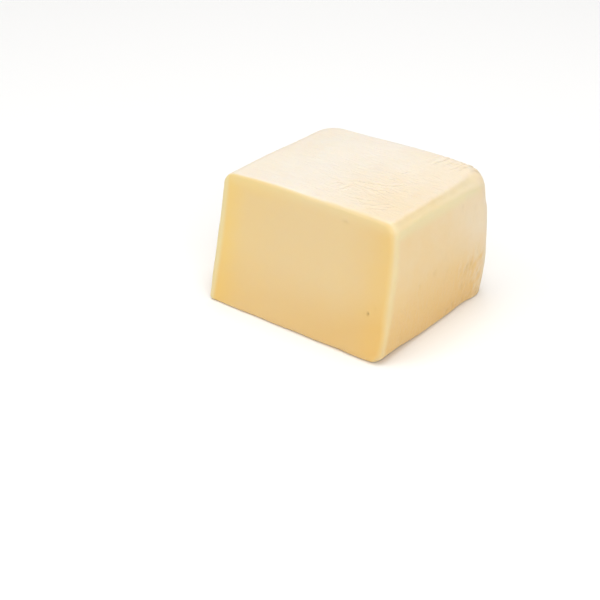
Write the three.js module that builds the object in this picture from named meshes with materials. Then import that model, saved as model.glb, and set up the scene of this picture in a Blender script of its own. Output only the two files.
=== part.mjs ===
// A cut block of low-moisture mozzarella: the end of a pressed loaf, standing on its base.
// Millimetres, +Z up. The knife cut faces -Y, the moulded end faces +Y, and the origin is the
// middle of the base of the block's box.
import * as THREE from 'three';
import { mergeVertices } from 'three/addons/utils/BufferGeometryUtils.js';

// Driving dimensions
const blockWidth = 140;
const blockHeight = 90; // up to the middle of the top, before its crown
const blockLength = 132; // along the base, from the foot of the cut to the moulded end

// The knife went in leaning, so the top of the cut lies behind its foot, and drifted on the way
const cutLean = 20;
const cutHollow = 1.6;

// How far the pressed faces belly out past flat
const rightBulge = 3.6;
const leftBulge = 1;
const endBulge = 1.9;
const topCrown = { across: 2.5, along: 1.5 };

// The top isn't quite level: it rises to the right, and the wrap drew it up towards the far edge
const topRise = 1.5;
const pucker = { x: 34, y: 52, reach: 27, rise: 1.5 };

// Soft waver of the moulded skin, out of step from face to face
const waverDepth = 0.25;
const waverLength = 11;
const waverPhase = { right: 0.6, left: 1.9, top: 1.1, end: 2.7 };

// Edge radii. Those along the top swell from the cut to the moulded end, late where onset is high
const rightTopRadius = { cut: 7, end: 15.4, onset: 6 };
const leftTopRadius = { cut: 7.5, end: 15.4, onset: 1 };
const rightCornerRadius = 16.8; // the upright edges at the moulded end
const leftCornerRadius = 20.6;
const baseRadius = 3;
const cutRadius = { left: 2.9, right: 5 }; // the knife dragged softer towards the right

// The right wall spreads at its foot, most at the cut, and the base is rounder under that corner
const footSpread = { out: 3.3, height: 48, fullTo: -62, goneAt: 40 };
const footRound = { radius: 8, fullTo: -60, goneAt: 0, fromX: 40, toX: 62 };

// Facets along X, Y and Z, and how the faces are settled onto the form
const facets = { x: 26, y: 24, z: 18 };
const edgeCrowding = 0.75; // 0 spaces the facets evenly, 1 packs them tightest at the edges
const settleSteps = 12;
const slopeStep = 0.01; // between the two points whose distances give a slope

const cheese = new THREE.MeshStandardMaterial({ color: 0xecd19b, roughness: 0.45, metalness: 0 });

// 0 at both ends of a 0..1 span and 1 at its middle
function belly(share) {
  const t = THREE.MathUtils.clamp(share, 0, 1);
  return 4 * t * (1 - t);
}

// 0 at the left side of the block and 1 at its right
function shareAcross(x) {
  return THREE.MathUtils.clamp(x / blockWidth + 0.5, 0, 1);
}

// Shallow waves in two directions over a moulded face
function waver(along, up, phase) {
  return waverDepth * Math.sin(along / waverLength + phase) * Math.sin(up / waverLength + 2 * phase);
}

// How far the cut lies behind its foot at a height
function cutSetback(z) {
  return cutLean * (z / blockHeight) + cutHollow * belly(z / blockHeight);
}

// Height of the top above the base
function topHeight(x, y) {
  const acrossCrown = topCrown.across * belly(x / blockWidth + 0.5);
  const alongCrown = topCrown.along * belly(y / blockLength + 0.5);
  const away = Math.hypot(x - pucker.x, y - pucker.y) / pucker.reach;
  const drawnUp = pucker.rise * Math.exp(-away * away);
  return blockHeight + (acrossCrown + alongCrown) / 2 + 2 * topRise * x / blockWidth + drawnUp;
}

// Radius between the top and the walls, swelling along each side and blended across
function topRadius(x, y) {
  const along = THREE.MathUtils.clamp(y / blockLength + 0.5, 0, 1);
  const left = THREE.MathUtils.lerp(leftTopRadius.cut, leftTopRadius.end, along ** leftTopRadius.onset);
  const right = THREE.MathUtils.lerp(rightTopRadius.cut, rightTopRadius.end, along ** rightTopRadius.onset);
  return THREE.MathUtils.lerp(left, right, shareAcross(x));
}

// Distance outside two faces whose shared edge is rounded to a radius, negative inside
function roundedMeet(a, b, radius) {
  const corner = Math.hypot(Math.max(a + radius, 0), Math.max(b + radius, 0));
  return Math.min(Math.max(a, b), -radius) + corner;
}

// 1 up to one place and 0 from another on
function fading(value, fullTo, goneAt) {
  return 1 - THREE.MathUtils.smoothstep(value, fullTo, goneAt);
}

// How far the right wall stands from the middle of the block
function rightReach(y, z) {
  const spread = fading(y, footSpread.fullTo, footSpread.goneAt) * fading(z, 0, footSpread.height);
  return blockWidth / 2 + rightBulge * belly(z / blockHeight) + footSpread.out * spread;
}

// Radius between the base and the walls
function footRadius(x, y) {
  const along = fading(y, footRound.fullTo, footRound.goneAt);
  const across = THREE.MathUtils.smoothstep(x, footRound.fromX, footRound.toX);
  return THREE.MathUtils.lerp(baseRadius, footRound.radius, along * across);
}

// Distance of a point outside the whole block, negative inside
function distanceOutside(p) {
  const height = belly(p.z / blockHeight);
  const across = belly(p.x / blockWidth + 0.5);
  const right = p.x - rightReach(p.y, p.z) - waver(p.y, p.z, waverPhase.right);
  const left = -p.x - blockWidth / 2 - leftBulge * height - waver(p.y, p.z, waverPhase.left);
  const top = p.z - topHeight(p.x, p.y) - waver(p.x, p.y, waverPhase.top);
  const end = p.y - blockLength / 2 - endBulge * (height + across) / 2 - waver(p.x, p.z, waverPhase.end);
  const cutSlope = Math.hypot(1, cutLean / blockHeight);
  const cut = (-p.y - blockLength / 2 + cutSetback(p.z)) / cutSlope;
  const walls = roundedMeet(roundedMeet(left, end, leftCornerRadius), right, rightCornerRadius);
  const loaf = roundedMeet(walls, top, topRadius(p.x, p.y));
  const standing = roundedMeet(loaf, -p.z, footRadius(p.x, p.y));
  const knifeRadius = THREE.MathUtils.lerp(cutRadius.left, cutRadius.right, shareAcross(p.x));
  return roundedMeet(standing, cut, knifeRadius);
}

// The direction in which that distance grows fastest
function outward(p) {
  const slope = new THREE.Vector3();
  for (const axis of ['x', 'y', 'z']) {
    const ahead = p.clone();
    const behind = p.clone();
    ahead[axis] += slopeStep;
    behind[axis] -= slopeStep;
    slope[axis] = distanceOutside(ahead) - distanceOutside(behind);
  }
  return slope.normalize();
}

// Where a facet line of the unit box falls on a 0..1 span, crowded towards both ends
function crowded(t) {
  const packed = 0.5 - 0.5 * Math.cos(Math.PI * (t + 0.5));
  return THREE.MathUtils.lerp(t + 0.5, packed, edgeCrowding);
}

// A box of facets that crowd towards its edges, leaned to the cut and settled onto the block's form
function blockGeometry() {
  const box = new THREE.BoxGeometry(1, 1, 1, facets.x, facets.y, facets.z);
  box.deleteAttribute('normal');
  box.deleteAttribute('uv');
  const shell = mergeVertices(box);
  const corners = shell.attributes.position;
  const p = new THREE.Vector3();
  for (let i = 0; i < corners.count; i += 1) {
    p.fromBufferAttribute(corners, i);
    const z = blockHeight * crowded(p.z);
    const foot = -blockLength / 2 + cutSetback(z);
    const y = THREE.MathUtils.lerp(foot, blockLength / 2, crowded(p.y));
    p.set(THREE.MathUtils.lerp(-blockWidth / 2, rightReach(y, z), crowded(p.x)), y, z);
    for (let step = 0; step < settleSteps; step += 1) {
      p.addScaledVector(outward(p), -distanceOutside(p));
    }
    corners.setXYZ(i, p.x, p.y, p.z);
  }
  shell.computeBoundingBox();
  const middle = shell.boundingBox.getCenter(new THREE.Vector3());
  shell.translate(-middle.x, -middle.y, -shell.boundingBox.min.z);
  shell.computeVertexNormals();
  return shell;
}

const block = new THREE.Mesh(blockGeometry(), cheese);
block.name = 'mozzarella_block';

const mozzarella = new THREE.Group();
mozzarella.add(block);

export default mozzarella;
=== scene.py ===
import math

import bmesh
import bpy
import numpy as np
from mathutils import Euler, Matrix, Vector, noise


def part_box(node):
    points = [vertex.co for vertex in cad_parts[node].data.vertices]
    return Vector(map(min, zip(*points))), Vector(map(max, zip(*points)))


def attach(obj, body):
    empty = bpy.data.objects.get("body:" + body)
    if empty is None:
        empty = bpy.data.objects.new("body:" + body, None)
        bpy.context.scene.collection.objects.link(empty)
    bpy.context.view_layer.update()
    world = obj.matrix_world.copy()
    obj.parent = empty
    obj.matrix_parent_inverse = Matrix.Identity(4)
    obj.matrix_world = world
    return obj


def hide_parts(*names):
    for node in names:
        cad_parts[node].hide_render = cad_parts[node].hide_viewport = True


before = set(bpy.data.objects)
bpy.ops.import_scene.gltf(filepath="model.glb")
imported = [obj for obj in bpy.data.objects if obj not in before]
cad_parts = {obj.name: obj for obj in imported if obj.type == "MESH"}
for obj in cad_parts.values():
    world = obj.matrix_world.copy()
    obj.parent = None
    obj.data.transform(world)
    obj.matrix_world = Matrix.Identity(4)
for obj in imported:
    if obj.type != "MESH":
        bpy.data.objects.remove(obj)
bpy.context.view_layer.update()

mm = 0.001
blockNode = "mozzarella_block"
print("frame loaded:", sorted(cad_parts))


# camera, standing where the photograph was taken from
cameraSet = {
    "azimuth": 38.80,  # degrees, from straight in front of the cut round to the right
    "elevation": 29.66,  # degrees above the floor
    "lens": 107.15,  # millimetres
    "sensor": 36.0,  # millimetres
    "depth": 1.2232,  # metres along the view to the middle of the base
    "baseAt": (351.62, 293.26),  # pixel on which the middle of the base falls
    "picture": 600,  # pixels a side
    "clip": (0.05, 50),  # metres
}


def makeCamera(s):
    data = bpy.data.cameras.new("photoCamera")
    data.lens = s["lens"]
    data.sensor_width = s["sensor"]
    data.clip_start, data.clip_end = s["clip"]
    camera = bpy.data.objects.new("photoCamera", data)
    camera.rotation_euler = Euler((math.radians(90 - s["elevation"]), 0, math.radians(s["azimuth"])))
    turn = camera.rotation_euler.to_matrix()
    right, up, back = turn.col[0], turn.col[1], turn.col[2]
    pixel = s["sensor"] / s["lens"] / s["picture"]  # width of a pixel one metre away
    across = (s["baseAt"][0] - s["picture"] / 2) * pixel
    down = (s["baseAt"][1] - s["picture"] / 2) * pixel
    camera.location = (back - right * across + up * down) * s["depth"]
    bpy.context.collection.objects.link(camera)
    bpy.context.scene.camera = camera


makeCamera(cameraSet)
print("camera placed")


# the block's form, in millimetres; a pair of places is where a change starts and where it is complete
blockForm = {
    "addedSize": (5.85, 1.23, 3.50),  # what bulges, crown and waver add to the plain block's box
    "rightBulge": 3.6, "leftBulge": 1.0, "endBulge": 1.9,
    "topCrown": (2.5, 1.5),  # across and along
    "topRise": 1.5,  # the top climbs to the right
    "pucker": (34, 52, 27, 1.5),  # x, y, reach and rise of the top towards the far edge
    "cutLean": 20.0, "cutHollow": 1.6,  # the knife leaned, and drifted on its way down
    "rollOff": (77.0, 1.2),  # height from which the cut rolls back, and how far it comes
    "waverDepth": 0.25, "waverLength": 11.0,
    "waverPhase": {"right": 0.6, "left": 1.9, "top": 1.1, "end": 2.7},
    "rightTopRadius": (7.0, 15.4, 6),  # at the cut, at the moulded end, and how late it swells
    "leftTopRadius": (7.5, 15.4, 1),
    "rightCornerRadius": 16.8, "leftCornerRadius": 20.6,
    "footSpread": (3.3, (40, -62), (48, 0)),  # of the right wall: how far, and over what y and heights
    "baseRadius": 3.0,
    "rightFoot": (40, 62),  # x over which the base takes on the radii under the right wall
    "footRound": (8.0, (0, -60)),  # radius there towards the cut, and over what y
    "crispFoot": (0.45, (30, 56)),  # share by which it is smaller towards the far end, and over what y
    "cutRadius": (2.9, 5.0),  # at the left and at the right
    "crispTop": (0.45, (76, 86), (71, 60)),  # share by which it is smaller along the top, heights and x
    "edgeWander": 0.28,  # how much the radii of the base and the cut come and go
    "wanderWaves": ((5.3, 0.7), (6.1, 2.0), (4.7, 1.2)),  # length and phase along each axis
    "spacing": (0.8, 0.77, 1.0),  # of the vertices along each axis
    "plainShare": (0.34, 0.46),  # share of the x lines left of the creases, and of the width there
    "underside": 0.46,  # half of the underside that is one flat face, as a share of each side
    "settleSteps": 10,
    "slopeStep": 0.01,
}


def belly(share):
    # 0 at both ends of a span from 0 to 1, and 1 at its middle
    t = np.clip(share, 0, 1)
    return 4 * t * (1 - t)


def rise(value, zone):
    # 0 at the start of the zone and 1 at its end, which may be the lower of the two
    start, end = zone
    t = np.clip((value - start) / (end - start), 0, 1)
    return t * t * (3 - 2 * t)


def near(value, spot):
    # 1 at the middle of the spot, fading over its reach
    middle, reach = spot
    return np.exp(-((value - middle) / reach) ** 2)


def atLeast(least, share):
    return least + (1 - least) * share


def roundedMeet(a, b, radius):
    # distance outside two faces whose shared edge is rounded
    corner = np.hypot(np.maximum(a + radius, 0), np.maximum(b + radius, 0))
    return np.minimum(np.maximum(a, b), -radius) + corner


class LoafForm:
    # how far points lie outside the block, from its faces and the radii between them
    def __init__(self, form):
        low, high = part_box(blockNode)
        size = (high - low) / mm - Vector(form["addedSize"])
        self.form = form
        self.width, self.length, self.height = size

    def waver(self, along, up, face):
        f = self.form
        phase = f["waverPhase"][face]
        wave = np.sin(along / f["waverLength"] + phase) * np.sin(up / f["waverLength"] + 2 * phase)
        return f["waverDepth"] * wave

    def wandering(self, radius, p):
        waves = []
        for axis, (length, phase) in enumerate(self.form["wanderWaves"]):
            waves.append(np.sin(p[:, axis] / length + phase))
        return radius * (1 + self.form["edgeWander"] * np.mean(waves, axis=0))

    def blended(self, left, right, x):
        return left + (right - left) * np.clip(x / self.width + 0.5, 0, 1)

    def cutSetback(self, z):
        # how far the cut lies behind its foot
        f = self.form
        share = z / self.height
        rollFrom, rolled = f["rollOff"]
        roll = np.maximum((z - rollFrom) / (self.height - rollFrom), 0)
        return f["cutLean"] * share + f["cutHollow"] * belly(share) + rolled * roll ** 2

    def rightReach(self, y, z):
        # how far the right wall stands from the middle, spreading at its foot towards the cut
        f = self.form
        out, along, up = f["footSpread"]
        spread = out * rise(y, along) * rise(z, up)
        return self.width / 2 + f["rightBulge"] * belly(z / self.height) + spread

    def footRadius(self, p):
        # between the base and the walls: rounder under the spread, crisper under the far right corner
        f = self.form
        x, y = p[:, 0], p[:, 1]
        base = f["baseRadius"]
        radius, nearCut = f["footRound"]
        crisp, nearEnd = f["crispFoot"]
        change = (radius - base) * rise(y, nearCut) - crisp * base * rise(y, nearEnd)
        return self.wandering(base + change * rise(x, f["rightFoot"]), p)

    def topHeight(self, x, y):
        f = self.form
        across, along = f["topCrown"]
        crown = (across * belly(x / self.width + 0.5) + along * belly(y / self.length + 0.5)) / 2
        puckerX, puckerY, reach, drawnUp = f["pucker"]
        pucker = drawnUp * near(np.hypot(x - puckerX, y - puckerY), (0, reach))
        return self.height + crown + 2 * f["topRise"] * x / self.width + pucker

    def topRadius(self, x, y):
        along = np.clip(y / self.length + 0.5, 0, 1)
        sides = []
        for side in ("leftTopRadius", "rightTopRadius"):
            atCut, atEnd, onset = self.form[side]
            sides.append(atCut + (atEnd - atCut) * along ** onset)
        return self.blended(sides[0], sides[1], x)

    def outsideLoaf(self, p):
        f = self.form
        x, y, z = p[:, 0], p[:, 1], p[:, 2]
        tall = belly(z / self.height)
        wide = belly(x / self.width + 0.5)
        right = x - self.rightReach(y, z) - self.waver(y, z, "right")
        left = -x - self.width / 2 - f["leftBulge"] * tall - self.waver(y, z, "left")
        top = z - self.topHeight(x, y) - self.waver(x, y, "top")
        end = y - self.length / 2 - f["endBulge"] * (tall + wide) / 2 - self.waver(x, z, "end")
        walls = roundedMeet(roundedMeet(left, end, f["leftCornerRadius"]), right, f["rightCornerRadius"])
        loaf = roundedMeet(walls, top, self.topRadius(x, y))
        return roundedMeet(loaf, -z, self.footRadius(p))

    def outsideCut(self, p):
        slope = math.hypot(1, self.form["cutLean"] / self.height)
        return (-p[:, 1] - self.length / 2 + self.cutSetback(p[:, 2])) / slope

    def cutRadius(self, p):
        plain = self.blended(*self.form["cutRadius"], p[:, 0])
        crisp, heights, across = self.form["crispTop"]
        topEdge = rise(p[:, 2], heights) * rise(p[:, 0], across)
        return self.wandering(plain * (1 - crisp * topEdge), p)

    def outside(self, p):
        return roundedMeet(self.outsideLoaf(p), self.outsideCut(p), self.cutRadius(p))

    def outward(self, p):
        # the direction in which that distance grows fastest
        step = self.form["slopeStep"]
        slope = np.zeros_like(p)
        for axis in range(3):
            ahead = p.copy()
            behind = p.copy()
            ahead[:, axis] += step
            behind[:, axis] -= step
            slope[:, axis] = self.outside(ahead) - self.outside(behind)
        return slope / np.linalg.norm(slope, axis=1, keepdims=True)

    def settle(self, p):
        for _ in range(self.form["settleSteps"]):
            p = p - self.outward(p) * self.outside(p)[:, None]
        return p


def gridBox(form, spans):
    # a unit box, ruled into a grid along each axis in turn, with one flat face left underneath
    bm = bmesh.new()
    bmesh.ops.create_cube(bm, size=1)
    for axis in range(3):
        ruled = [e for e in bm.edges if abs((e.verts[0].co - e.verts[1].co)[axis]) > 0.5]
        cuts = round(spans[axis] / form["spacing"][axis]) - 1
        bmesh.ops.subdivide_edges(bm, edges=ruled, cuts=cuts, use_grid_fill=True)
    under = []
    for face in bm.faces:
        middle = face.calc_center_median()
        atBottom = middle.z < -0.499  # the box goes down to -0.5
        if atBottom and max(abs(middle.x), abs(middle.y)) < form["underside"]:
            under.append(face)
    bmesh.ops.dissolve_faces(bm, faces=under)
    return bm


# a zone names a measure of the surface, where its share is still 0 and where it is 1
# a spot names a measure, its middle and its reach
onCut = ("cutDepth", 0.5, 0.1)
onSkin = ("cutDepth", 0.1, 0.5)
cornerEdge = ("corner", 0.72, 0.95)
cornerFoot = [("pastFold", -2, 4), ("nx", -0.1, 0.5), ("z", 42, 30)]
besideTop = [("lengthways", 0.5, 0.2), ("y", 56, 38)]
wrinkles = [("x", 24, 34), ("y", -12, 30)]  # spots


def measureBlock(p, normal, cutDepth, loaf, m):
    x, y, z = p.T
    nx, ny, nz = normal.T
    cornerX, cornerY = m["cornerFacing"]
    return {
        "x": x, "y": y, "z": z, "nx": nx, "ny": ny, "nz": nz,
        "sideways": np.abs(nx), "lengthways": np.abs(ny),
        "lean": np.degrees(np.arctan2(nx, nz)),  # degrees from upright, over the right top edge
        "corner": cornerX * nx + cornerY * ny,  # how squarely it faces out of the far right corner
        "cutDepth": cutDepth,  # how far it lies behind the plane of the cut, in radii of the cut's edge
        "fromLeft": loaf.width / 2 + x, "fromRight": loaf.width / 2 - x,
        "fromMiddle": np.hypot(x, y),
        "underTop": loaf.topHeight(x, y) - z,
        "pastFold": y - np.interp(z, *m["cornerLine"]),
    }


def zoneShare(at, zones, spots=()):
    # how far the surface lies inside every zone and spot
    share = 1.0
    for measure, none, full in zones:
        share = share * rise(at[measure], (none, full))
    for measure, middle, reach in spots:
        share = share * near(at[measure], (middle, reach))
    return share


def zoneSum(at, terms):
    return sum(strength * zoneShare(at, *where) for strength, *where in terms)


def zoneMost(at, terms):
    return np.maximum.reduce([strength * zoneShare(at, *where) for strength, *where in terms])


# marks that pressing, wrapping and cutting left on the surface, in millimetres
blockMarks = {
    "seed": 11,
    # each face's own two axes, and the zone of the face
    "faces": {
        "top": ("x", "y", ("nz", 0.55, 0.9)),
        "right": ("y", "z", ("nx", 0.6, 0.92)),
        "left": ("y", "z", ("nx", -0.6, -0.92)),
        "end": ("x", "z", ("ny", 0.6, 0.92)),
        "cut": ("x", "z", ("ny", -0.8, -0.95)),
    },
    "offBase": ("nz", -0.9, -0.5),
    # the clearest folds of skin over the top: depth, and the x, y that each passes
    "topFolds": [
        (0.62, [(6, -12.4), (8.5, -11.4), (11.1, -9.4), (17.9, -8.6),
                (23.5, -5.9), (33.4, -1.1), (38, 4)]),
        (0.46, [(7.5, -28), (10, -23), (10.6, -18.4), (12.2, -14.5)]),
        (0.40, [(4, -24), (5.2, -19.3), (8.3, -17)]),
        (0.34, [(-1.4, -24), (1.2, -19.5), (4.8, -17.7)]),
        (0.26, [(20.8, -14.7), (26.2, -12.1)]),
        (0.52, [(25.8, -15.2), (29.2, -12.4), (34.2, -8.4)]),
        (0.32, [(28.3, -21), (33.8, -16.6)]),
        (0.42, [(40.2, -3.6), (46.5, -2.3)]),
        (0.30, [(24, -29.6), (30, -29)]),
        (0.38, [(31.8, -36.2), (37.6, -31)]),
        (0.38, [(33.4, -29.4), (37, -24.4)]),
        (0.42, [(38.6, -33.2), (41, -29)]),
        (0.44, [(38.6, -38), (45.5, -33.8), (50.6, -30.8)]),
        (0.38, [(40.4, -30), (46.8, -23)]),
        (0.44, [(47, -30.4), (50.4, -25.5), (52.4, -23)]),
        (0.30, [(26.6, 5.8), (28.4, 10)]),
        (0.30, [(28, 15.4), (28.7, 23)]),
    ],
    # strewn creases: face, how many, ranges of their starts, heading and its spread, lengths, depths
    "creaseFields": [
        ("top", 14, (-10, 54), (-36, 12), 37, 9, (4, 9), (0.08, 0.18)),
        ("top", 10, (28, 62), (34, 50), 84, 6, (6, 14), (0.06, 0.14)),
        ("right", 14, (-40, 48), (14, 76), 84, 14, (4, 12), (0.04, 0.1)),
        ("left", 18, (-44, 50), (12, 78), 20, 14, (6, 18), (0.05, 0.14)),
        ("end", 18, (-56, 50), (12, 78), 70, 16, (6, 18), (0.05, 0.14)),
    ],
    "creaseWidth": 0.9,
    "creaseSteps": 3,
    "creaseTurn": 0.3,  # radians, spread of the turns between its steps
    "creaseWarp": (0.8, (4.5, 1.8)),  # how far the creases stray from their lines, over what lengths
    "patches": (6, 0.9, (0.2, 1.5)),  # size, mean strength of the marks, and its limits
    "patchShare": 0.7,  # of a crease's depth that is the same in all patches
    # fine lines that the wrap pressed in: face, heading, length, gap, depth,
    # middle and reach along both axes, and the share elsewhere
    "fineLines": [
        ("top", 38, 9.0, 2.4, -0.05, (24, 34), (-12, 30), 0.3),
        ("right", 84, 11.0, 2.8, 0.10, (30, 40), (30, 34), 0.35),
        ("left", 84, 11.0, 3.4, 0.08, (0, 60), (40, 50), 0.5),
        ("end", 84, 11.0, 3.4, 0.08, (0, 60), (40, 50), 0.5),
    ],
    "fineWidth": 0.2,  # how far from the middle of its noise a line reaches
    # strewn dents: face, how many, ranges, radius, how much taller than wide, depth
    "dentFields": [
        ("right", 30, (26, 50), (14, 40), (0.8, 1.3), (0.9, 2.2), (0.1, 0.28)),
        ("right", 30, (8, 54), (3, 9), (0.7, 1.3), (0.6, 1.4), (0.15, 0.45)),
        ("right", 22, (-46, 50), (8, 80), (1.4, 3.4), (0.8, 1.8), (0.08, 0.22)),
        ("left", 26, (-46, 58), (4, 60), (0.7, 2.0), (0.8, 2.2), (0.06, 0.24)),
        ("end", 30, (-60, 60), (4, 60), (0.7, 2.0), (0.8, 2.2), (0.06, 0.26)),
    ],
    # pits in the cut and strokes low on the right: face, place, radius, how much taller than wide, depth
    "pits": [
        ("cut", (57.4, 31.2), 0.65, 1.1, 2.1),
        ("cut", (54.7, 31), 1.3, 1, 0.12),
        ("cut", (62.4, 36.2), 1.2, 1, 0.12),
        ("cut", (30.1, 84), 2.4, 0.4, 0.4),
        ("right", (36.6, 32.1), 0.8, 2.2, 0.5),
        ("right", (32.8, 28.6), 0.6, 3.2, 0.4),
        ("right", (35.4, 28.2), 0.6, 3.0, 0.35),
    ],
    # tucks over the far top edge: x, depth, y where it starts
    "tucks": [
        (32, 0.25, 42), (37.4, 0.5, 36), (41.2, 0.25, 44), (43.9, 0.42, 38), (47.2, 0.3, 41),
        (50.3, 0.36, 36), (54.4, 0.5, 40), (60.5, 0.35, 43),
    ],
    "tuckFacing": ("nz", 0.15, 0.5),
    "tuckWidth": 1.1,
    "tuckOnset": 12,  # length over which a tuck deepens
    "tuckStray": 1.5,  # how many times as far as a crease it strays
    "tuckLean": (0.15, 50),  # how far it leans right for each millimetre, and y where it is at its x
    # a groove and a ridge where the wrap folded along the right top edge
    "edgeFold": [
        (-0.32, besideTop, [("lean", 36, 13)]),
        (0.36, besideTop, [("lean", 74, 13)]),
    ],
    # the far right corner is drawn in near the top, swells under that, and spreads at its foot
    "cornerFacing": (0.78, 0.62),
    "cornerLine": ((4, 12, 20, 26, 32, 38), (41, 41, 40, 40, 46, 54)),  # heights, y of the fold there
    "cornerFold": [
        (-0.6, [cornerEdge, ("z", 64, 71), ("z", 92, 84)]),
        (0.3, [cornerEdge], [("z", 61, 6)]),
        (0.6, cornerFoot),
        (0.35, cornerFoot, [("pastFold", 0.5, 1.5)]),
    ],
    "knifeLines": (0.018, 2.1, ((0.9, 23), (0.5, 7))),  # height, radians for each millimetre, and sways
    "unevenness": (0.12, (14, 5.5), 0.8),  # height, lengths, and how much less there is on the cut
    "darkDepth": 1.9,  # hollows as deep as this get the darkest painted shade
    # starts of the noises, so that no two run alike
    "noiseStart": {
        "along": (1.3, 5.9), "across": (8.2, 2.4), "patches": 4.6, "lines": 6.1, "uneven": (3.1, 7.7),
    },
}


def grooveProfile(widths):
    # a groove with soft lips two widths to each side
    return 0.45 * near(np.abs(widths), (2, 1)) - near(widths, (0, 1))


def foldProfile(widths):
    # a narrow line with the swell of the fold in front of it
    return 0.7 * near(widths, (-2, 1.4)) - near(widths, (0, 1))


def alongLine(u, v, points):
    # how far places are to the left of a bent line, and a share that fades out at both of its ends
    points = np.array(points, dtype=float)
    steps = np.diff(points, axis=0)
    lengths = np.linalg.norm(steps, axis=1)
    passed = np.concatenate([[0], np.cumsum(lengths)])
    nearest = np.full(len(u), np.inf)
    side = np.ones(len(u))
    share = np.zeros(len(u))
    for start, step, length, before in zip(points, steps, lengths, passed):
        t = np.clip(((u - start[0]) * step[0] + (v - start[1]) * step[1]) / length ** 2, 0, 1)
        away = np.hypot(u - start[0] - t * step[0], v - start[1] - t * step[1])
        closer = away < nearest
        nearest = np.where(closer, away, nearest)
        turn = step[0] * (v - start[1]) - step[1] * (u - start[0])
        side = np.where(closer, np.sign(turn), side)
        share = np.where(closer, (before + t * length) / passed[-1], share)
    return side * nearest, belly(share) ** 0.75


def strewnLine(rng, rangeU, rangeV, heading, spread, lengths, m):
    points = [np.array([rng.uniform(*rangeU), rng.uniform(*rangeV)])]
    turn = math.radians(rng.normal(heading, spread))
    step = rng.uniform(*lengths) / m["creaseSteps"]
    for _ in range(m["creaseSteps"]):
        turn += rng.normal(0, m["creaseTurn"])
        points.append(points[-1] + step * np.array([math.cos(turn), math.sin(turn)]))
    return points


def dent(u, v, place, radius, tall):
    return -near(u, (place[0], radius)) * near(v, (place[1], radius * tall))


def noiseOver(p, size, start):
    return np.array([noise.noise(Vector(q) / size + Vector((start, start, start))) for q in p])


def twoNoises(p, sizes, starts):
    # a broad noise, and a finer one of half its height
    return noiseOver(p, sizes[0], starts[0]) + 0.5 * noiseOver(p, sizes[1], starts[1])


def alongStreaks(u, v, heading, length, gap):
    # places measured along and across streaks, in lengths and gaps of the streaks
    turn = math.radians(heading)
    along = u * math.cos(turn) + v * math.sin(turn)
    across = v * math.cos(turn) - u * math.sin(turn)
    return np.stack([along / length, across / gap, np.zeros(len(u))], axis=1)


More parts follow.
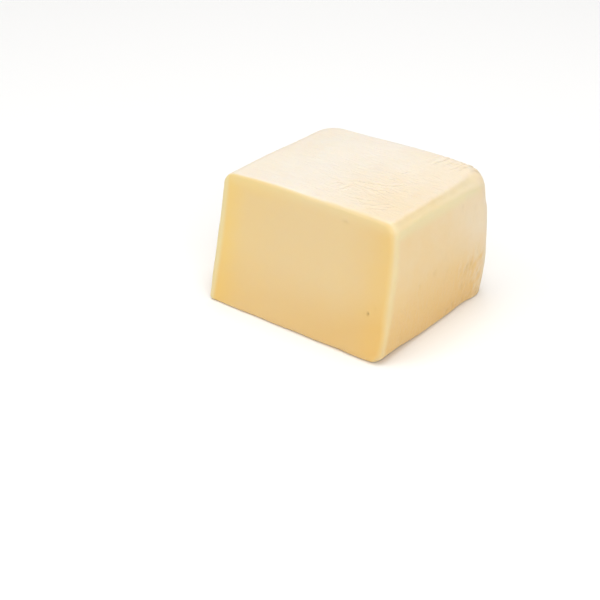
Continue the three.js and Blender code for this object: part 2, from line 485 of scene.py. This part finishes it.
class SkinMarks:
    # relief over the block, mark by mark
    def __init__(self, p, at, m):
        self.p = p
        self.at = at
        self.m = m
        self.rng = np.random.default_rng(m["seed"])
        self.faces = {}
        for name, (u, v, zone) in m["faces"].items():
            self.faces[name] = (at[u], at[v], zoneShare(at, [zone]))
        stray, sizes = m["creaseWarp"]
        starts = m["noiseStart"]
        self.warpU = stray * twoNoises(p, sizes, starts["along"])
        self.warpV = stray * twoNoises(p, sizes, starts["across"])
        size, strength, limits = m["patches"]
        self.patchy = np.clip(strength * (1 + noiseOver(p, size, starts["patches"])), *limits)

    def creases(self):
        m, rng = self.m, self.rng
        drawn = [("top", depth, points) for depth, points in m["topFolds"]]
        for face, count, rangeU, rangeV, heading, spread, lengths, depths in m["creaseFields"]:
            for _ in range(count):
                points = strewnLine(rng, rangeU, rangeV, heading, spread, lengths, m)
                drawn.append((face, rng.uniform(*depths), points))
        relief = np.zeros(len(self.p))
        for face, depth, points in drawn:
            u, v, here = self.faces[face]
            away, share = alongLine(u + self.warpU, v + self.warpV, points)
            profile = foldProfile if face == "top" else grooveProfile
            relief += here * share * depth * profile(away / m["creaseWidth"])
        print("creases drawn:", len(drawn))
        return relief * atLeast(m["patchShare"], self.patchy)

    def fineLines(self):
        m = self.m
        relief = np.zeros(len(self.p))
        for face, heading, length, gap, depth, spotU, spotV, elsewhere in m["fineLines"]:
            u, v, here = self.faces[face]
            streaks = alongStreaks(u + self.warpU, v + self.warpV, heading, length, gap)
            lines = near(noiseOver(streaks, 1, m["noiseStart"]["lines"]), (0, m["fineWidth"]))
            relief -= here * depth * lines * atLeast(elsewhere, near(u, spotU) * near(v, spotV))
        return relief * self.patchy

    def dents(self):
        rng = self.rng
        relief = np.zeros(len(self.p))
        for face, count, rangeU, rangeV, radii, talls, depths in self.m["dentFields"]:
            u, v, here = self.faces[face]
            for _ in range(count):
                place = (rng.uniform(*rangeU), rng.uniform(*rangeV))
                depth = rng.uniform(*depths)
                relief += here * depth * dent(u, v, place, rng.uniform(*radii), rng.uniform(*talls))
        for face, place, radius, tall, depth in self.m["pits"]:
            u, v, here = self.faces[face]
            relief += here * depth * dent(u, v, place, radius, tall)
        return relief

    def tucks(self):
        m, at = self.m, self.at
        lean, leanFrom = m["tuckLean"]
        across = at["x"] + m["tuckStray"] * self.warpU - lean * (at["y"] - leanFrom)
        relief = np.zeros(len(self.p))
        for tuckX, depth, startY in m["tucks"]:
            onset = rise(at["y"], (startY, startY + m["tuckOnset"]))
            relief += onset * depth * grooveProfile((across - tuckX) / m["tuckWidth"])
        return relief * zoneShare(at, [m["tuckFacing"]])

    def knifeLines(self):
        height, turns, sways = self.m["knifeLines"]
        sway = sum(far * np.sin(self.at["x"] / length) for far, length in sways)
        return self.faces["cut"][2] * height * np.sin(self.at["z"] * turns + sway)

    def unevenness(self):
        height, sizes, lessOnCut = self.m["unevenness"]
        broad = twoNoises(self.p, sizes, self.m["noiseStart"]["uneven"])
        return (1 - lessOnCut * self.faces["cut"][2]) * height * broad

    def relief(self):
        # the whole relief, and how deep a place lies in the fine marks, which get painted shade
        m, at = self.m, self.at
        fine = self.creases() + self.fineLines() + self.dents() + self.tucks()
        fine += self.patchy * zoneSum(at, m["edgeFold"])
        whole = fine + zoneSum(at, m["cornerFold"]) + self.knifeLines() + self.unevenness()
        return whole * zoneShare(at, [m["offBase"]]), np.clip(-fine / m["darkDepth"], 0, 1)


# where the finish changes over the block: strengths with the zones and spots that limit them
topFace = ("nz", 0.6, 0.95)
wallFace = ("nz", 0.95, 0.6)
roughFoot = [("fromMiddle", 50, 80), ("z", 50, 24)]
farFoot = [*roughFoot, ("y", 10, 40)]
rightTopEdge = [onSkin, ("z", 78, 84), ("y", 60, 36)]
blockFinish = {
    "cutFace": [(1.0, [onCut])],
    # fine lines of the skin, most in the wrinkles on the top and at the foot of the far corners
    "topLines": [(0.55, [topFace]), (0.45, [topFace], wrinkles)],
    "wallLines": [(0.2, [wallFace]), (0.8, [wallFace, *roughFoot])],
    # the cut is yellower towards its sides and its top left; the rim is stronger on the left, which also
    # paints the brighter light on that side
    "rim": [
        (0.65, [("fromLeft", 25, 2)]),
        (0.5, [("fromRight", 25, 2)]),
        (0.5, [("underTop", 14, 2), ("x", 10, -50)]),
    ],
    "wideRim": [(0.35, [("fromLeft", 60, 8)]), (0.1, [("fromRight", 60, 8)])],
    # the top is palest, partly pale skin and partly painted sheen from the light above; the top reaches a
    # little over the edge of the cut
    "onTop": [
        (1.0, [("nz", 0.8, 0.995)]),
        (1.0, [("nz", 0.5, 0.85), ("cutDepth", 1.6, 0.8), ("sideways", 0.5, 0.2)]),
    ],
    "topPale": [
        (1.0, []),
        (-0.38, [("x", -20, 62)]),
        (0.133, [("x", -20, 62), ("y", -30, 30)]),
        (-0.1, [("x", -25, -62)]),
        (-0.08, [], wrinkles),
    ],
    "wallPale": [
        (0.15, [("z", 20, 88)]),
        (0.34, [("z", 20, 88), ("y", -20, 50)]),
        # paler where the walls turn up: painted light from above
        (0.15, [("nz", 0.1, 0.6)]),
        (-0.2, [("y", 36, 56), ("z", 70, 84)]),
        (0.29, [("y", 16, 56), ("nx", 0.1, 0.6), ("z", 16, 36), ("z", 78, 54)]),
        # the fold at the foot of the far right corner, painted paler as the highlight on its ridge
        (0.3, cornerFoot),
        # a painted glint along the far right corner's silhouette
        (0.5, [("corner", 0.92, 0.99)], [("z", 27, 8)]),
    ],
    "flecks": [(0.21, farFoot), (0.39, [*farFoot, ("nx", -0.1, 0.5)])],
    "fleckStreaks": (80, 6, 2.2),  # heading, length and gap
    "fleckStart": 3.3,
    # pale soft edges of the cut, painted as highlight along them: its sides, its top, inside its left, and
    # a band under the top
    "paleEdgeHighlight": [
        (0.7, [("sideways", 0.15, 0.5)], [("cutDepth", 0.56, 0.44)]),
        (0.5, [("nz", 0.3, 0.5)], [("cutDepth", 0.12, 0.3)]),
        (1.1, [onCut, ("fromLeft", 5, 0.3)]),
        (0.48, [onCut, ("underTop", 10, 1)]),
    ],
    # and two painted highlights, pale lines along the right top edge
    "topRoundHighlights": [
        (1.0, rightTopEdge, [("lean", 76, 15)]),
        (0.5, rightTopEdge, [("lean", 42, 18)]),
    ],
    # deeper, warmer colour low down, painted for warm light reflected from below, and painted shade
    # towards the right of the cut
    "paintedBounceAndShade": [
        (0.62, [onCut, ("z", 50, 4)]),
        (0.38, [onCut, ("z", 50, 4), ("x", -40, 40)]),
        (0.4, [onCut, ("x", 25, 65)]),
        (0.4, [onSkin, ("z", 62, 4)]),
        (0.6, [onSkin, ("z", 62, 4), ("nx", -0.1, 0.5)]),
    ],
}


def finishOver(at, f):
    onTop = zoneMost(at, f["onTop"])
    streaks = alongStreaks(at["y"] - at["x"], at["z"], *f["fleckStreaks"])
    flecks = zoneSum(at, f["flecks"]) * noiseOver(streaks, 1, f["fleckStart"])
    shares = {
        "cutFace": zoneSum(at, f["cutFace"]),
        "topLines": zoneSum(at, f["topLines"]),
        "wallLines": zoneSum(at, f["wallLines"]),
        "rim": zoneMost(at, f["rim"]) + zoneSum(at, f["wideRim"]),
        # pale skin with painted sheen on the top; on the walls painted light from above, a painted
        # highlight on the foot's fold and a painted glint at the far corner
        "paleSkinAndPaintedLight": onTop * zoneSum(at, f["topPale"]) + (1 - onTop) * zoneSum(at, f["wallPale"]) + flecks,
        # painted highlights on the edges of the cut and along the right top edge
        "paleEdgeHighlight": np.maximum(zoneMost(at, f["paleEdgeHighlight"]), zoneSum(at, f["topRoundHighlights"])),
        # painted warm reflected light low down and painted shade on the right of the cut
        "paintedBounceAndShade": zoneSum(at, f["paintedBounceAndShade"]),
    }
    return {name: np.clip(share, 0, 1) for name, share in shares.items()}


def buildBlock(form, marks, finish):
    loaf = LoafForm(form)
    bm = gridBox(form, (loaf.width, loaf.length, loaf.height))
    unit = np.array([v.co for v in bm.verts]) + 0.5
    linesLeft, widthLeft = form["plainShare"]
    z = loaf.height * unit[:, 2]
    foot = -loaf.length / 2 + loaf.cutSetback(z)
    y = foot + (loaf.length / 2 - foot) * unit[:, 1]
    left = -loaf.width / 2
    across = np.interp(unit[:, 0], [0, linesLeft, 1], [0, widthLeft, 1])
    x = left + (loaf.rightReach(y, z) - left) * across
    p = loaf.settle(np.stack([x, y, z], axis=1))
    print("block settled:", len(p), "vertices")
    normal = loaf.outward(p)
    cutDepth = -loaf.outsideCut(p) / loaf.cutRadius(p)
    middle = (p.max(axis=0) + p.min(axis=0)) / 2
    p = p - np.array([middle[0], middle[1], 0])  # centred, as the frame has it
    at = measureBlock(p, normal, cutDepth, loaf, marks)
    relief, hollowShade = SkinMarks(p, at, marks).relief()
    marked = p + normal * relief[:, None]
    marked[:, 2] = np.maximum(marked[:, 2], 0)
    for v, place in zip(bm.verts, marked * mm):
        v.co = place
    bmesh.ops.recalc_face_normals(bm, faces=bm.faces)
    for face in bm.faces:
        face.smooth = True
    mesh = bpy.data.meshes.new("mozzarellaBlock")
    bm.to_mesh(mesh)
    bm.free()
    shares = finishOver(at, finish)
    # painted shade in the hollows of the fine marks
    shares["hollowShade"] = hollowShade
    for name, values in shares.items():
        layer = mesh.attributes.new(name, "FLOAT", "POINT")
        layer.data.foreach_set("value", values.astype(np.float32))
    block = bpy.data.objects.new("mozzarellaBlock", mesh)
    bpy.context.collection.objects.link(block)
    mesh.calc_loop_triangles()
    print("block built:", len(mesh.loop_triangles), "triangles")
    return block


block = buildBlock(blockForm, blockMarks, blockFinish)


class Wire:
    # a node socket that takes part in Python sums
    def __init__(self, tree, socket=None):
        self.tree = tree
        self.socket = socket

    def node(self, kind, settings=None, sockets=None, out=0):
        made = self.tree.nodes.new(kind)
        for name, value in (settings or {}).items():
            setattr(made, name, value)
        for name, value in (sockets or {}).items():
            if isinstance(value, Wire):
                self.tree.links.new(value.socket, made.inputs[name])
            else:
                made.inputs[name].default_value = value
        return Wire(self.tree, made.outputs[out]) if len(made.outputs) else made

    def math(self, operation, a, b):
        return self.node("ShaderNodeMath", {"operation": operation}, {0: a, 1: b})

    def __add__(self, other):
        return self.math("ADD", self, other)

    def __radd__(self, other):
        return self.math("ADD", other, self)

    def __sub__(self, other):
        return self.math("SUBTRACT", self, other)

    def __rsub__(self, other):
        return self.math("SUBTRACT", other, self)

    def __mul__(self, other):
        return self.math("MULTIPLY", self, other)

    def __rmul__(self, other):
        return self.math("MULTIPLY", other, self)

    def mixed(self, first, second, blend="MIX"):
        # first where this value is 0, second where it is 1
        settings = {"data_type": "RGBA", "blend_type": blend}
        return self.node("ShaderNodeMix", settings, {0: self, 6: first, 7: second}, out=2)


def newMaterial(name):
    material = bpy.data.materials.new(name)
    material.use_nodes = True
    material.node_tree.nodes.clear()
    return material, Wire(material.node_tree)


# cheese: linear colours, lengths in metres but for the heights of the bump
cheeseFinish = {
    "skin": (0.812, 0.597, 0.295, 1),
    # pale skin, partly painted sheen, highlight and glint
    "paleSkinAndPaintedLight": (0.83, 0.757, 0.645, 1),
    "cut": (0.78, 0.592, 0.306, 1),
    "rim": (0.84, 0.605, 0.218, 1),
    # painted highlight on the edges
    "paleEdgeHighlight": (0.795, 0.70, 0.41, 1),
    "softShare": 0.75,
    "bounceAndShadeTint": (0.953, 0.856, 0.665, 1),  # what is left of the colour where warm reflected light is painted low down and shade on the right of the cut
    "hollowShadeTint": (0.60, 0.53, 0.40, 1),  # and in the hollows, where shade is painted
    "mottle": {"Scale": 70.0, "Detail": 4.0},
    "mottleShare": 0.3,  # how far it shifts the colours
    "grain": {"Scale": 600.0, "Detail": 5.0},
    # fine lines over the skin: heading in degrees, lines for each metre along each axis, height
    "topLines": {"heading": 38, "scale": (80, 260, 80), "detail": 3.0, "sharp": 7.0, "height": 0.22},
    "wallLines": {"heading": 0, "scale": (240, 240, 110), "detail": 3.0, "sharp": 7.0, "height": 0.20},
    # heights of the bump, in millimetres
    "mottleHeight": 0.12,
    "grainHeight": 0.02, "skinGrainHeight": 0.06,
    "roughness": 0.42, "roughnessMottle": 0.12,
    "cutSmoother": 0.05,
    "ior": 1.45,
    "scatterShare": 0.6,
    "scatter": (0.75, 0.62, 0.4),
    "scatterScale": 0.0009,
}


def lineHeight(start, place, s):
    # height of fine lines that follow a heading, where a stretched noise passes through its middle
    turn = (0, 0, math.radians(-s["heading"]))
    sockets = {"Vector": place, "Rotation": turn, "Scale": s["scale"]}
    turned = start.node("ShaderNodeMapping", {"vector_type": "POINT"}, sockets)
    field = start.node("ShaderNodeTexNoise", None, {"Vector": turned, "Scale": 1.0, "Detail": s["detail"]})
    away = start.math("ABSOLUTE", field - 0.5, 0.0)
    return s["height"] * start.math("MAXIMUM", 1.0 - s["sharp"] * away, 0.0)


def makeCheese(f, shareNames):
    material, start = newMaterial("cheese")
    place = start.node("ShaderNodeTexCoord", out="Object")
    share = {}
    for name in shareNames:
        share[name] = start.node("ShaderNodeAttribute", {"attribute_name": name}, out="Fac")
    mottle = start.node("ShaderNodeTexNoise", None, {"Vector": place, **f["mottle"]}) - 0.5
    grain = start.node("ShaderNodeTexNoise", None, {"Vector": place, **f["grain"]})
    cut = share["cutFace"]
    skin = 1.0 - cut
    cutColor = (share["rim"] + f["mottleShare"] * mottle).mixed(f["cut"], f["rim"])
    # the skin's colour: pale skin with painted sheen, highlight and glint
    skinColor = (share["paleSkinAndPaintedLight"] + f["mottleShare"] * mottle).mixed(f["skin"], f["paleSkinAndPaintedLight"])
    # painted warm reflected light low down, and painted shade towards the right of the cut
    color = share["paintedBounceAndShade"].mixed(cut.mixed(skinColor, cutColor), f["bounceAndShadeTint"], "MULTIPLY")
    # painted highlights on the rounded edges
    color = (f["softShare"] * share["paleEdgeHighlight"]).mixed(color, f["paleEdgeHighlight"])
    # painted shade in the hollows
    color = share["hollowShade"].mixed(color, f["hollowShadeTint"], "MULTIPLY")
    roughness = f["roughness"] + f["roughnessMottle"] * mottle - f["cutSmoother"] * cut
    # grain, and the fine lines that the wrap left on the top and down the walls
    height = grain * (f["grainHeight"] + f["skinGrainHeight"] * skin) + mottle * f["mottleHeight"]
    for name in ("topLines", "wallLines"):
        height = height + skin * share[name] * lineHeight(start, place, f[name])
    bump = start.node("ShaderNodeBump", None, {"Height": height, "Strength": 1.0, "Distance": mm})
    shader = start.node("ShaderNodeBsdfPrincipled", None, {
        "Base Color": color, "Roughness": roughness, "Normal": bump, "IOR": f["ior"],
        "Subsurface Weight": f["scatterShare"], "Subsurface Radius": f["scatter"],
        "Subsurface Scale": f["scatterScale"],
    })
    start.node("ShaderNodeOutputMaterial", None, {"Surface": shader})
    return material


shareNames = ("cutFace", "topLines", "wallLines", "rim", "paleSkinAndPaintedLight", "paleEdgeHighlight", "paintedBounceAndShade", "hollowShade")
block.data.materials.append(makeCheese(cheeseFinish, shareNames))
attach(block, "root")
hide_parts(blockNode)
print("cheese finished")


# a plain pale table and soft light, in metres and watts
studio = {
    "floorColor": (0.93, 0.925, 0.915, 1),
    "floorRoughness": 0.7,
    "floorSize": 8.0,
    "worldColor": (1, 1, 1, 1),
    "worldStrength": 0.48,
    # name, place, size, power
    "lights": [
        ("keyLight", (1.15, -0.95, 1.25), 1.2, 13.2),
        ("fillLight", (-0.9, -1.1, 1.7), 1.4, 7.3),
        ("topLight", (0, 0.15, 1.9), 1.2, 16.6),
    ],
    "aim": (0, 0, 0.05),
}


def makeFloor(s):
    bm = bmesh.new()
    bmesh.ops.create_grid(bm, x_segments=1, y_segments=1, size=s["floorSize"] / 2)
    mesh = bpy.data.meshes.new("paleTable")
    bm.to_mesh(mesh)
    bm.free()
    table = bpy.data.objects.new("paleTable", mesh)
    bpy.context.collection.objects.link(table)
    material, start = newMaterial("paleTable")
    sockets = {"Base Color": s["floorColor"], "Roughness": s["floorRoughness"]}
    shader = start.node("ShaderNodeBsdfPrincipled", None, sockets)
    start.node("ShaderNodeOutputMaterial", None, {"Surface": shader})
    mesh.materials.append(material)


def makeLights(s):
    world = bpy.data.worlds.new("studio")
    world.use_nodes = True
    background = world.node_tree.nodes["Background"]
    background.inputs["Color"].default_value = s["worldColor"]
    background.inputs["Strength"].default_value = s["worldStrength"]
    bpy.context.scene.world = world
    for name, place, size, power in s["lights"]:
        data = bpy.data.lights.new(name, "AREA")
        data.size = size
        data.energy = power
        light = bpy.data.objects.new(name, data)
        light.location = place
        light.rotation_euler = (Vector(s["aim"]) - Vector(place)).to_track_quat("-Z", "Y").to_euler()
        bpy.context.collection.objects.link(light)
    bpy.context.scene.view_settings.view_transform = "Standard"
    bpy.context.scene.view_settings.look = "None"


makeFloor(studio)
makeLights(studio)
print("studio lit")
